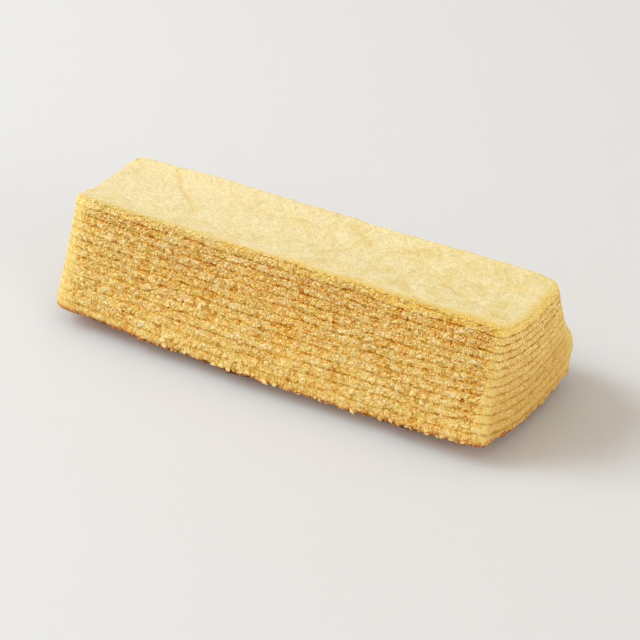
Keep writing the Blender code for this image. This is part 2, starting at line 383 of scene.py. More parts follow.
# The upper and lower edges, ragged where crumb came away: lumps of two sizes, each with its length,
# its height, how far its pattern is shifted and its seed. Each also has the weights of its own
# height and of its rounded top.
EDGE_LUMP_LENGTH, EDGE_LUMP_HEIGHT, EDGE_LUMP_SEED = 0.00135, 0.00105, 34
EDGE_LUMP, EDGE_LUMP_ROUND = 0.00035, 0.00045
BIG_LUMP_LENGTH, BIG_LUMP_HEIGHT, BIG_LUMP_SHIFT, BIG_LUMP_SEED = 0.00240, 0.00150, 30, 33
BIG_LUMP, BIG_LUMP_ROUND = 0.00045, 0.00035
EDGE_SWELL = (0.00030, 0.0042, 35)
UPPER_EDGE, LOWER_EDGE = 0.0012, 0.0014  # how far down and up the faces each goes
LEFT_END_UPPER, RIGHT_END_UPPER, END_LOWER = 0.80, 0.35, 1.10  # its share on the ends
BACK_UPPER, WORN_BACK_UPPER = 0.3, 0.7  # its share along the top's back, and more by the worn corner
WORN_BACK_X, WORN_BACK_REACH = -0.0620, 0.0120
LEFT_FOOT_REACH, LEFT_FOOT_LOSS = 0.0260, 0.75  # the lower edge is smoother towards the left end
EDGE_REACH = 0.0022  # how far the unevenness of an edge goes on into the flat face beside it
FACE_SWELL, COAT_STEP = (0.00045, 0.017, 37), (0.00010, 0.008, 38)
RIM_LUMP, RIM_LUMP_ROUND, RIM_REACH = 0.00032, 0.00042, 0.0014  # the skin's own front edge

# The bar's larger forms.
BUMP_HEIGHT, BUMP_MIDDLE, BUMP_HALF_WIDTH = 0.0018, -0.0140, 0.0075
RIGHT_CROWN = 0.0006
BACK_BULGE, BACK_BULGE_DEPTH, BACK_BULGE_REACH = 0.0015, 0.0270, 0.0060
KNEE, KNEE_DEPTH, KNEE_ABOVE, KNEE_BELOW = 0.0024, 0.0288, 0.0175, 0.0040
KNEE_FROM, KNEE_TO = 0.030, 0.066
TOP_WEAR, TOP_WEAR_TO, FOOT_WEAR, FOOT_WEAR_FROM = 0.0002, 0.0050, 0.0012, 0.0310
NEAR_TOP = 0.012
WORN_CORNER, WORN_X, WORN_Y, WORN_REACH_X, WORN_REACH_Y = 0.0024, -0.0610, 0.0160, 0.0140, 0.0075
LOW_CORNER, LOW_X, LOW_Y, LOW_REACH = 0.0011, 0.0690, 0.0195, 0.0060
HIGH_BACK, HIGH_BACK_X, HIGH_BACK_REACH, HIGH_BACK_Y = 0.00075, 0.0450, 0.0240, (0.004, 0.016)
FOOT, LEFT_FOOT, LEFT_FOOT_X, LEFT_FOOT_WIDTH = 0.0006, 0.0003, -0.066, 0.020
MIDDLE_FOOT, MIDDLE_FOOT_X, RIGHT_FOOT, RIGHT_FOOT_X = 0.0004, (0.008, 0.032), 0.0003, (0.046, 0.068)


def formed(x, y, layer, px, py, depth):
    """Adds the larger forms, each a bell or a smooth step that fades away from its own face: a swell
    on the left end, a crown on the right one, a bulge low on the back with a knee towards the right,
    a worn and a low corner, a raised back edge, and a foot where the front meets the crust."""
    left, right = np.clip(-x / HALF_LENGTH, 0, 1) ** 24, np.clip(x / HALF_LENGTH, 0, 1) ** 24
    px = px - left * BUMP_HEIGHT * bell(y, BUMP_MIDDLE, BUMP_HALF_WIDTH)
    px = px + right * RIGHT_CROWN * (1 - (y / HALF_WIDTH) ** 2)
    at_back = np.clip(y / HALF_WIDTH, 0, 1) ** 6
    py = py + at_back * BACK_BULGE * bell(depth, BACK_BULGE_DEPTH, BACK_BULGE_REACH)
    knee = KNEE * bell(depth, KNEE_DEPTH, np.where(depth < KNEE_DEPTH, KNEE_ABOVE, KNEE_BELOW))
    wear = TOP_WEAR * (1 - smooth(depth, 0, TOP_WEAR_TO))
    wear = wear + FOOT_WEAR * smooth(depth, FOOT_WEAR_FROM, THICKNESS)
    py = py + at_back * smooth(x, KNEE_FROM, KNEE_TO) * (knee - wear)

    near_top = np.clip(1 - depth / NEAR_TOP, 0, 1)
    worn = WORN_CORNER * bell(x, WORN_X, WORN_REACH_X) * bell(y, WORN_Y, WORN_REACH_Y)
    low = LOW_CORNER * bell(x, LOW_X, LOW_REACH) * bell(y, LOW_Y, LOW_REACH)
    high = HIGH_BACK * bell(x, HIGH_BACK_X, HIGH_BACK_REACH) * smooth(y, *HIGH_BACK_Y)
    depth = depth + near_top * (worn + low - high)
    foot = FOOT + LEFT_FOOT * bell(x, LEFT_FOOT_X, LEFT_FOOT_WIDTH)
    foot = foot + MIDDLE_FOOT * smooth(x, *MIDDLE_FOOT_X) + RIGHT_FOOT * smooth(x, *RIGHT_FOOT_X)
    depth = depth + foot * smooth(layer, LAYERS - 1.5, LAYERS) * smooth(-y / HALF_WIDTH, 0.6, 1.0)
    return px, py, depth


TORN_FROM, LEFT_TORN_TO, RIGHT_TORN_TO = 0.0006, 0.0070, 0.0042  # distances from an upright corner
LEFT_FRONT_REACH, LEFT_FRONT_SLOT_LOSS, LEFT_FRONT_LOSS = 0.0050, 0.35, 0.70
SOFTER_EDGE, SOFTER_REACH = 0.0012, 0.0060  # the skin's edge is rounder at the left front corner
END_FADE, END_BREAKS = 0.40, (0.50, 0.0018, 39)  # the end's lines fade and break towards the back
CORNER_LINE_REACH = 0.0022  # the layer lines are whole near the upright corners
SKIN_DENTS = (
    (0.00030, 0.015, 51),
    (0.00012, 0.0045, 52),
    (0.00008, 0.0017, 53),
    (0.00007, 0.0010, 54),
)
CRUST_SWELL = (0.00045, 0.011, 55)

# Where the finish changes along the bar and near its edges.
LEFT_CLEAN, RIGHT_FRONT_CLEAN, RIGHT_BACK_CLEAN = 0.0048, 0.0021, 0.0042
# The long faces and their crust are painted lighter and yellower towards the left end, as painted light
# where the lamp on the left falls.
END_TURN, LEFT_PAINTED_LIGHT_REACH, CRUST_CLIMB_REACH = 0.0016, 0.0130, 0.0220
RIM_WIDTH, RIM_WIDER_RIGHT, END_RIM_WIDTH, LEFT_END_RIM = 0.0032, 0.0014, 0.0020, 0.3
# Painted light: a strip along the front of the skin is painted lighter, where its concave top turns away
# from the lamps.
PAINTED_LIGHT_STRIP, PAINTED_LIGHT_STRIP_WIDTH = 0.0050, 0.0045


def dressed(block):
    """Gives the block's points their place on the finished bar: wandering layer lines, rounded
    corners and edges, the relief and the ragged edges pushed in along the plan's outward direction,
    the larger forms, the skin's dents and creases, and then the bend. Returns the places and what
    the finish reads at each point."""
    x, y, layer = block.T
    to_end, to_side = HALF_LENGTH - abs(x), HALF_WIDTH - abs(y)
    inset, to_corner = np.minimum(to_end, to_side), abs(to_end - to_side)
    on_side, on_end = inset < TINY, to_end < to_side - TINY
    along, down = distance_round(x, y, on_end), layer * COAT_PITCH
    torn = smooth(to_corner, TORN_FROM, np.where(x > 0, RIGHT_TORN_TO, LEFT_TORN_TO)) * ~on_end
    left_front = bell(to_corner, 0, LEFT_FRONT_REACH) * (x < 0) * (y < 0)
    depth = depth_of(layer + wandered(x, y, along, layer, torn, on_end) * on_side)

    torn_face, cut_face = torn_relief(along, layer, torn), cut_relief(along, layer)
    relief, height, slot = (np.where(on_end, cut, tear) for tear, cut in zip(torn_face, cut_face))
    by_skin, by_first = smooth(layer, TOP_LAYER, 0.35), smooth(layer, 0.55, 1.0)
    relief = relief * (0.45 + 0.20 * by_skin + 0.35 * by_first)
    faded = on_end * smooth(y, -0.002, HALF_WIDTH) * (END_FADE + waves(along, down, END_BREAKS))
    whole = bell(to_corner, 0, CORNER_LINE_REACH) * nearest_line(layer)[1]
    slot = np.maximum(slot * (1 - faded), whole) * (1 - LEFT_FRONT_SLOT_LOSS * left_front)
    relief = relief * (1 - LEFT_FRONT_LOSS * left_front)

    px, py, out_x, out_y = round_plan(x, y)
    softer = SOFTER_EDGE * bell(x, -HALF_LENGTH, SOFTER_REACH) * bell(y, -HALF_WIDTH, SOFTER_REACH)
    skin_inset, skin_depth = round_edge(inset, depth, SKIN_EDGE_RADIUS + softer)
    crust_inset, crust_height = round_edge(inset, THICKNESS - depth, CRUST_EDGE_RADIUS)
    upper = depth < THICKNESS / 2
    gap, own = lumps(along / EDGE_LUMP_LENGTH, down / EDGE_LUMP_HEIGHT, EDGE_LUMP_SEED)
    big_along, big_down = along / BIG_LUMP_LENGTH + BIG_LUMP_SHIFT, down / BIG_LUMP_HEIGHT
    big_gap, big = lumps(big_along, big_down, BIG_LUMP_SEED)
    ragged = EDGE_LUMP * own + EDGE_LUMP_ROUND * (PILLOW_MEAN - pillow(gap))
    ragged = ragged + BIG_LUMP * big + BIG_LUMP_ROUND * (PILLOW_MEAN - pillow(big_gap))
    ragged = ragged + waves(along, down, EDGE_SWELL)
    back_share = BACK_UPPER + WORN_BACK_UPPER * bell(x, WORN_BACK_X, WORN_BACK_REACH)
    ragged = ragged * np.where(upper & (y > 0), back_share, 1.0)
    edge = bell(depth, 0, UPPER_EDGE) + bell(depth, THICKNESS, LOWER_EDGE)
    end_share = np.where(upper, np.where(x < 0, LEFT_END_UPPER, RIGHT_END_UPPER), END_LOWER)
    edge = edge * np.where(on_end, end_share, 1.0)
    edge = edge * (1 - LEFT_FOOT_LOSS * bell(x, -HALF_LENGTH, LEFT_FOOT_REACH) * ~upper)
    edge = edge * (1 - LEFT_FRONT_LOSS * left_front)
    uneven = ragged * edge + waves(along, depth, FACE_SWELL) * np.where(on_end, 0.5, 1.0)
    uneven = uneven + line_waves(along, np.ceil(layer - TINY), COAT_STEP) - relief
    inwards = np.where(upper, skin_inset, crust_inset) - inset + bell(inset, 0, EDGE_REACH) * uneven
    px, py = px - out_x * inwards, py - out_y * inwards
    depth = np.where(upper, skin_depth, THICKNESS - crust_height)
    px, py, depth = formed(x, y, layer, px, py, depth)

    on_top = layer < TOP_LAYER + TINY
    on_skin = on_top & ~on_side
    at_rim = on_top * bell(inset, 0, RIM_REACH) * (y < 0) * ~on_end
    depth = depth - at_rim * (RIM_LUMP * own + RIM_LUMP_ROUND * (pillow(gap) - PILLOW_MEAN))
    crease = np.where(on_skin, crease_depth(px, py), 0)
    dents = sum(waves(px, py, dent) for dent in SKIN_DENTS)
    depth = depth + on_skin * (dents * smooth(inset, 0, 0.003) + crease)
    depth = depth + (layer > LAYERS - TINY) * waves(px, py, CRUST_SWELL)

    clean_reach = np.where(x < 0, LEFT_CLEAN, np.where(y < 0, RIGHT_FRONT_CLEAN, RIGHT_BACK_CLEAN))
    rim_width = RIM_WIDTH + RIM_WIDER_RIGHT * smooth(x, 0, 0.055)
    end_rim = bell(to_end, 0, END_RIM_WIDTH) * np.where(x < 0, LEFT_END_RIM, 1.0)
    front = bell(y, PAINTED_LIGHT_STRIP - HALF_WIDTH, PAINTED_LIGHT_STRIP_WIDTH) * smooth(x, -0.080, 0.020)
    marks = {
        "layer": layer,
        "height": height,
        "slot": slot,
        "end": np.maximum(on_end, 1 - smooth(to_corner, 0.0, END_TURN)) * on_side,
        "corner": bell(to_corner, 0, clean_reach) * on_side,
        "left_painted_light": bell(x, -HALF_LENGTH, LEFT_PAINTED_LIGHT_REACH) * on_side,
        "climb": (0.5 + 0.5 * bell(to_end, 0, CRUST_CLIMB_REACH)) * ~on_end,
        "crease": crease / DEEP_CREASE,
        "skin": on_skin,
        "rim": bell(y, -HALF_WIDTH, rim_width) * on_skin,
        "front": front * on_skin,
        "end_rim": end_rim * on_skin,
        "pale": (0.5 - 0.5 * x / HALF_LENGTH) * (0.45 + 0.55 * smooth(y, -HALF_WIDTH, 0.004)),
    }
    return bend(px, py, depth), marks


def closed_mesh(name, points, shown, hidden, marks):
    """A mesh object from arrays: points, a list of smooth-shaded and one of flat face arrays, each
    with its own number of sides, and a named point attribute for each of the marks."""
    mesh = bpy.data.meshes.new(name)
    faces = shown + hidden
    mesh.vertices.add(len(points))
    mesh.vertices.foreach_set("co", points.astype(np.float32).ravel())
    sides = np.concatenate([np.full(len(group), group.shape[1]) for group in faces])
    corners = np.concatenate([group.ravel() for group in faces])
    mesh.loops.add(len(corners))
    mesh.loops.foreach_set("vertex_index", corners.astype(np.int32))
    mesh.polygons.add(len(sides))
    mesh.polygons.foreach_set("loop_start", (np.cumsum(sides) - sides).astype(np.int32))
    mesh.update(calc_edges=True)
    smooth_faces = sum(len(group) for group in shown)
    mesh.polygons.foreach_set("use_smooth", np.arange(len(sides)) < smooth_faces)
    for key, value in marks.items():
        attribute = mesh.attributes.new(key, "FLOAT", "POINT")
        attribute.data.foreach_set("value", np.asarray(value, np.float32))
    piece = bpy.data.objects.new(name, mesh)
    bpy.context.scene.collection.objects.link(piece)
    return piece


def srgb(red, green, blue):
    """The linear colour of a screen colour given as 0 .. 255."""
    share = np.array([red, green, blue]) / 255
    linear = np.where(share <= 0.04045, share / 12.92, ((share + 0.055) / 1.055) ** 2.4)
    return (*(float(part) for part in linear), 1.0)


class Graph:
    """Short calls to build one material's node tree."""

    def __init__(self, name):
        self.material = bpy.data.materials.new(name)
        self.material.use_nodes = True
        self.tree = self.material.node_tree
        self.shader = self.tree.nodes["Principled BSDF"]
        self.place = self.tree.nodes.new("ShaderNodeTexCoord").outputs["Object"]

    def put(self, socket, value):
        """Links an output to a socket, or sets the socket's own value."""
        if isinstance(value, bpy.types.NodeSocket):
            self.tree.links.new(value, socket)
        else:
            socket.default_value = value

    def attribute(self, key):
        node = self.tree.nodes.new("ShaderNodeAttribute")
        node.attribute_name = key
        return node.outputs["Fac"]

    def math(self, operation, *values):
        node = self.tree.nodes.new("ShaderNodeMath")
        node.operation = operation
        for socket, value in zip(node.inputs, values):
            self.put(socket, value)
        return node.outputs[0]

    def product(self, first, *others):
        """All the values multiplied."""
        for other in others:
            first = self.math("MULTIPLY", first, other)
        return first

    def total(self, *parts):
        """The sum of (value, weight) pairs."""
        result = 0.0
        for value, weight in parts:
            result = self.math("MULTIPLY_ADD", value, weight, result)
        return result

    def noise(self, size, detail):
        """Noise with spots of the given size in metres, 0 .. 1."""
        node = self.tree.nodes.new("ShaderNodeTexNoise")
        node.inputs["Scale"].default_value = 1 / size
        node.inputs["Detail"].default_value = detail
        node.inputs["Roughness"].default_value = 0.55
        self.tree.links.new(self.place, node.inputs["Vector"])
        return node.outputs["Fac"]

    def span(self, value, low, high, start=0.0, end=1.0):
        """Maps low .. high smoothly to start .. end."""
        node = self.tree.nodes.new("ShaderNodeMapRange")
        node.interpolation_type = "SMOOTHSTEP"
        for socket, number in zip(node.inputs, (value, low, high, start, end)):
            self.put(socket, number)
        return node.outputs[0]

    def ramp(self, value, *stops):
        """A colour ramp from (place, colour) stops."""
        node = self.tree.nodes.new("ShaderNodeValToRGB")
        elements = node.color_ramp.elements
        while len(elements) < len(stops):
            elements.new(0.5)
        for element, (place, colour) in zip(elements, stops):
            element.position = place
            element.color = colour
        self.put(node.inputs[0], value)
        return node.outputs[0]

    def mix(self, share, low, high):
        """Goes from one colour to another with the share."""
        node = self.tree.nodes.new("ShaderNodeMix")
        node.data_type = "RGBA"
        first, second = (socket for socket in node.inputs if socket.type == "RGBA")
        self.put(node.inputs["Factor"], share)
        self.put(first, low)
        self.put(second, high)
        return next(socket for socket in node.outputs if socket.type == "RGBA")

    def scaled(self, colour, factor):
        """A colour with all three of its parts multiplied by a factor."""
        node = self.tree.nodes.new("ShaderNodeVectorMath")
        node.operation = "SCALE"
        self.put(node.inputs[0], colour)
        self.put(node.inputs["Scale"], factor)
        return node.outputs[0]

    def deepened(self, colour, power):
        """A colour whose parts are raised to a power: above 1 it gets darker and more saturated."""
        node = self.tree.nodes.new("ShaderNodeGamma")
        self.put(node.inputs["Color"], colour)
        self.put(node.inputs["Gamma"], power)
        return node.outputs[0]

    def bump(self, height, distance):
        node = self.tree.nodes.new("ShaderNodeBump")
        node.inputs["Distance"].default_value = distance
        node.inputs["Strength"].default_value = 1.0
        self.put(node.inputs["Height"], height)
        return node.outputs[0]


CRUMB_PIT, CRUMB_SHADE, CRUMB_GOLD = srgb(206, 128, 24), srgb(240, 182, 74), srgb(252, 215, 122)
CRUMB_YELLOW, CRUMB_CREAM = srgb(255, 228, 156), srgb(255, 238, 192)
CRUMB_STOPS = (
    (0.04, CRUMB_PIT),
    (0.28, CRUMB_SHADE),
    (0.52, CRUMB_GOLD),
    (0.72, CRUMB_YELLOW),
    (0.95, CRUMB_CREAM),
)
UPPER_TAN, WARM_PATCH, STRAW_PATCH = srgb(216, 152, 84), srgb(245, 198, 126), srgb(230, 197, 84)
PALE_SPECK, HONEY, HOLLOW_SHADE_BROWN = srgb(255, 236, 174), srgb(246, 188, 70), srgb(223, 151, 56)
CORNER_YELLOW, LOWER_YELLOW, LEFT_LIT_YELLOW = srgb(250, 222, 132), srgb(255, 226, 134), srgb(255, 230, 140)
FIRST_RIGHT, FIRST_LEFT = srgb(250, 208, 94), srgb(252, 224, 136)
CUT_STOPS = (0.20, srgb(216, 161, 75)), (0.50, srgb(243, 206, 119)), (0.80, srgb(252, 230, 160))
CUT_LOWER, CUT_FOOT = srgb(212, 156, 66), srgb(168, 108, 46)
LINE_BROWN, LINE_OLIVE, CUT_LINE = srgb(200, 116, 24), srgb(196, 150, 34), srgb(196, 144, 50)
CUT_BORDER = srgb(252, 220, 125)
SKIN_STOPS = (0.25, srgb(226, 202, 124)), (0.5, srgb(232, 214, 153)), (0.75, srgb(237, 225, 178))
SKIN_PALE, SKIN_CREASE = srgb(239, 224, 178), srgb(222, 190, 104)
END_RIM_YELLOW, CHEWED_YELLOW = srgb(232, 199, 98), srgb(236, 202, 98)
CRUST_STOPS = (0.34, srgb(128, 70, 30)), (0.5, srgb(208, 124, 50)), (0.68, srgb(238, 166, 80))
CRUST_BORDER, CRUST_LEFT_LIT, CRUST_SPOT = srgb(234, 168, 80), srgb(236, 176, 96), srgb(120, 72, 30)

PATCH_SPOTS, SKIN_SPOTS, TINT_SPOTS = 0.011, 0.0050, 0.0025
COARSE_SPOTS, FINE_SPOTS, GRAIN_SPOTS = 0.0016, 0.0007, 0.00030
CRUMB_BUMP = 0.00048
GLOW_RADIUS, GLOW_SCALE = (1.0, 0.70, 0.38), 0.0003  # how far light spreads inside the crumb


def sponge_finish():
    """The bar's finish: golden crumb, browner in its pits and at the layer lines and cream on its
    peaks, partly as painted shade and painted highlight that follow the relief's height, under a
    pale fine-grained skin and over a toasted crust."""
    g = Graph("sponge")
    layer, height, slot = g.attribute("layer"), g.attribute("height"), g.attribute("slot")
    end, corner, crease = g.attribute("end"), g.attribute("corner"), g.attribute("crease")
    left_painted_light, pale, rim = g.attribute("left_painted_light"), g.attribute("pale"), g.attribute("rim")
    patch, tint, coarse = g.noise(PATCH_SPOTS, 2), g.noise(TINT_SPOTS, 1), g.noise(COARSE_SPOTS, 2)
    fine, grain = g.noise(FINE_SPOTS, 3), g.noise(GRAIN_SPOTS, 2)
    from_line = g.math("ABSOLUTE", g.math("SUBTRACT", layer, g.math("ROUND", layer)))
    upper = g.span(layer, 7.5, 0.5)
    torn = g.math("SUBTRACT", 1.0, end)

    # Crumb of the torn faces: golden by the layer lines and paler between them.
    # The relief's height takes part: painted shade in the low crumb, painted highlight on its peaks.
    level = g.total((height, 0.55), (fine, 0.20), (coarse, 1.10), (from_line, 0.32), (1.0, -0.52))
    crumb = g.ramp(level, *CRUMB_STOPS)
    crumb = g.mix(g.product(upper, 0.18), crumb, UPPER_TAN)
    crumb = g.mix(g.span(tint, 0.54, 0.68, 0.0, 0.60), crumb, WARM_PATCH)
    crumb = g.mix(g.span(tint, 0.46, 0.32, 0.0, 0.60), crumb, STRAW_PATCH)
    crumb = g.mix(g.span(grain, 0.58, 0.69, 0.0, 0.45), crumb, PALE_SPECK)
    crumb = g.mix(g.span(from_line, 0.30, 0.06, 0.0, 0.30), crumb, HONEY)

    # Crumb of the cut ends: finer and more even. The upright corners and the first coat are paler.
    # The height paints shade in the cut's pores as well.
    cut = g.total((height, 0.38), (fine, 0.50), (grain, 0.76), (1.0, -0.32))
    cut = g.ramp(cut, *CUT_STOPS)
    cut = g.mix(g.span(layer, 4.0, 11.5, 0.0, 0.58), cut, CUT_LOWER)
    cut = g.mix(g.span(layer, LAYERS - 1.4, LAYERS, 0.0, 0.6), cut, CUT_FOOT)
    crumb = g.mix(end, crumb, cut)
    crumb = g.mix(g.product(corner, 0.84), crumb, CORNER_YELLOW)
    first = g.mix(g.span(pale, 0.0, 0.40), FIRST_RIGHT, FIRST_LEFT)
    crumb = g.mix(g.span(layer, 1.00, 0.50, 0.0, 0.58), crumb, first)
    crumb = g.mix(g.span(layer, 8.0, 12.2, 0.0, 0.22), crumb, LOWER_YELLOW)
    # Painted light: the torn faces lighter and yellower towards the left end, where the lamp on the left
    # falls.
    crumb = g.mix(g.product(left_painted_light, 0.25), crumb, LEFT_LIT_YELLOW)

    # Brown line where each layer was grilled before the next, weaker over the last coat.
    clean = g.math("MAXIMUM", end, corner)
    stray = g.total((fine, 0.30), (grain, 0.20), (height, 0.10), (1.0, -0.30))
    strayed = g.total((stray, g.total((clean, -0.28), (1.0, 1.0))), (from_line, 1.0))
    wide = g.total((slot, 0.08), (coarse, 0.08), (clean, 0.05), (1.0, 0.04))
    line = g.span(strayed, g.product(wide, 0.1), wide, 1.0, 0.0)
    strong = g.total((upper, 0.31), (end, 0.33), (1.0, 0.20))
    last = g.total((g.product(g.span(layer, 11.5, 11.7), torn), -0.6), (1.0, 1.0))
    line = g.product(line, g.product(slot, strong), g.span(layer, 0.3, 0.8), last)
    brown = g.mix(g.span(tint, 0.55, 0.45), LINE_BROWN, LINE_OLIVE)
    crumb = g.mix(line, crumb, g.mix(end, brown, CUT_LINE))

    # The skin's cut edge is a yellower band. It comes and goes along the torn faces, and the painted
    # shade in the hollows of the torn crumb, and its finest pits, lie over it.
    border = g.total((layer, 1.0), (fine, 1.6), (coarse, 4.2), (1.0, -2.90))
    band_start, band_end = g.total((end, 0.10), (1.0, 0.20)), g.total((end, 0.40), (1.0, 0.45))
    band = g.span(border, band_start, band_end, 0.85, 0.0)
    crumb = g.mix(band, crumb, g.mix(end, first, CUT_BORDER))
    # Painted shade: the torn crumb's low places are browner.
    hollow_shade = g.product(g.span(height, 0.36, 0.12, 0.0, 0.50), torn)
    crumb = g.mix(hollow_shade, crumb, HOLLOW_SHADE_BROWN)
    pit = g.total((grain, 1.0), (from_line, 0.14), (corner, 0.05), (1.0, -0.035))
    deep = g.product(torn, g.total((g.span(layer, 1.3, 0.6), 0.38), (corner, 0.25), (1.0, 0.38)))
    crumb = g.mix(g.product(g.span(pit, 0.43, 0.32), deep), crumb, CRUMB_PIT)

    # Skin: pale and fine-grained, yellower in soft patches, and chewed along the torn edge.
    pallor = g.total((g.noise(SKIN_SPOTS, 2), 1.1), (coarse, 0.22), (fine, 0.06), (1.0, -0.19))
    top = g.ramp(pallor, *SKIN_STOPS)
    top = g.mix(g.span(pale, 0.0, 1.0, 0.17, 0.60), top, SKIN_PALE)
    top = g.mix(g.product(crease, 0.52), top, SKIN_CREASE)
    top = g.mix(g.product(g.attribute("end_rim"), 0.7), top, END_RIM_YELLOW)
    chewed = g.product(rim, g.total((fine, 1.2), (coarse, 3.8), (1.0, -1.5)))
    top = g.mix(g.span(chewed, -0.05, 0.80, 0.0, 0.78), top, CHEWED_YELLOW)
    skin = g.product(g.attribute("skin"), g.span(chewed, 1.00, 0.75))
    colour = g.mix(skin, crumb, top)

    # Toasted crust, which climbs a little up the faces and in specks up the ends.
    toast = g.total((fine, 0.8), (patch, 0.8), (1.0, -0.3))
    crust = g.ramp(toast, *CRUST_STOPS)
    # Painted light: the crust lighter towards the left end.
    crust = g.mix(g.product(left_painted_light, 0.6), crust, CRUST_LEFT_LIT)
    crust = g.mix(g.product(end, g.span(fine, 0.46, 0.58, 0.0, 0.8)), crust, CRUST_SPOT)
    climb = g.total((fine, 0.5), (coarse, 0.4), (g.attribute("climb"), 0.30), (1.0, -0.50))
    specks = g.product(end, g.span(coarse, 0.50, 0.68, 0.0, 0.7))
    climbed = g.total((layer, 1.0), (climb, 1.0), (specks, 1.0))
    colour = g.mix(g.span(climbed, LAYERS - 0.55, LAYERS - 0.25, 0.0, 0.5), colour, CRUST_BORDER)
    colour = g.mix(g.span(climbed, LAYERS - 0.30, LAYERS - 0.10), colour, crust)

    # The finest grain only lightens and darkens, most on the torn crumb below the first coat. The tone
    # also lightens the torn first coat a little, as painted light against the shade of its rough edge.
    crest = g.product(g.span(layer, 1.0, 0.7), g.total((end, -0.8), (skin, -1.0), (1.0, 1.0)))
    calmed = g.total((end, -0.30), (skin, -0.84), (corner, -0.30), (crest, -0.30))
    amount = g.total((upper, 0.44), (calmed, 1.0), (1.0, 0.84))
    shade = g.total((grain, 1.45), (fine, 0.50), (1.0, -0.975))
    mottle = g.total((coarse, 0.26), (fine, 0.10), (1.0, -0.18))
    # Painted light: the skin's front strip lighter and the torn first coat a little lighter; the skin's
    # front edge a little darker.
    light = g.total((skin, -0.01), (g.attribute("front"), 0.06), (crest, 0.045), (rim, -0.03))
    tone = g.total((shade, amount), (mottle, skin), (light, 1.0), (1.0, 0.935))
    # The power also follows the relief: lower places deepen, as painted shade.
    power = g.total((grain, -1.6), (fine, -0.80), (height, -0.7), (1.0, 1.55))
    power = g.product(power, amount, g.total((skin, -0.8), (1.0, 1.0)))
    deeper = g.deepened(colour, g.total((power, 1.0), (1.0, 1.0)))
    g.put(g.shader.inputs["Base Color"], g.scaled(deeper, tone))
    g.shader.inputs["Roughness"].default_value = 0.75
    g.shader.inputs["Specular IOR Level"].default_value = 0.22
    g.shader.inputs["Subsurface Weight"].default_value = 0.15
    g.shader.inputs["Subsurface Radius"].default_value = GLOW_RADIUS
    g.shader.inputs["Subsurface Scale"].default_value = GLOW_SCALE
    calm = g.math("MAXIMUM", g.product(skin, 0.25), g.product(end, 0.10))
    relief = g.total((fine, 1.0), (grain, 1.10))
    relief = g.product(relief, g.math("SUBTRACT", 1.0, calm))
    g.put(g.shader.inputs["Normal"], g.bump(relief, CRUMB_BUMP))
    return g.material


sponge = sponge_finish()
for number in range(1, LAYERS + 1):
    block, shown, hidden = coat_surface(number)
    places, marks = dressed(block)
    coat = closed_mesh(f"coat_{number:02d}", places, shown, hidden, marks)
    coat.data.materials.append(sponge)
    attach(coat, "root")
    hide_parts("baumkuchen_bar")

# ---- Torn crumbs ---------------------------------------------------------------------------------
# Crumbs that the knife half tore out of the long faces, still joined to them. Each is a knobbly
# lump of sponge about a millimetre wide, longer along the layers, and sunk to its middle.

CRUMB_TRIES = 2500  # on each face, of which the rougher patches keep theirs
CRUMB_SIZE, CRUMB_SPREAD = 0.00036, 0.45
LEAST_STRETCH, MOST_STRETCH = (0.8, 0.6, 0.5), (1.6, 1.1, 0.9)  # along, up and out of the face
CRUMB_KNOCK, CRUMB_TURN, CRUMB_LEAN = 0.40, 0.7, 0.4
END_CLEARANCE, LEAST_HEIGHT = 0.0030, 0.0002
BARE_FOOT_TO = -0.040  # the lower edge has none to the left of this x
CRUMB_PATCH, CRUMB_CLUSTER = 0.0075, 0.0022
UPPER_LUMP = srgb(212, 152, 84)
LUMP_BUMP = 0.0006


def ball():
    """A ball of 18 points and 32 triangles: an octahedron with each side halved once, and all its
    points pushed out to distance 1."""
    corners = np.array([(1, 0, 0), (0, 1, 0), (-1, 0, 0), (0, -1, 0), (0, 0, 1), (0, 0, -1)], float)
    upper_faces = [(i, (i + 1) % 4, 4) for i in range(4)]
    lower_faces = [((i + 1) % 4, i, 5) for i in range(4)]
    faces = np.array(upper_faces + lower_faces)
    sides = np.sort(faces[:, [0, 1, 1, 2, 2, 0]].reshape(-1, 2), axis=1)
    sides, which = np.unique(sides, axis=0, return_inverse=True)
    halves = corners[sides].mean(axis=1)
    points = np.concatenate([corners, halves / np.linalg.norm(halves, axis=1, keepdims=True)])
    ab, bc, ca = (which.reshape(-1, 3) + len(corners)).T
    a, b, c = faces.T
    smaller = [(a, ab, ca), (ab, b, bc), (ca, bc, c), (ab, bc, ca)]
    return points, np.concatenate([np.stack(face, axis=-1) for face in smaller])


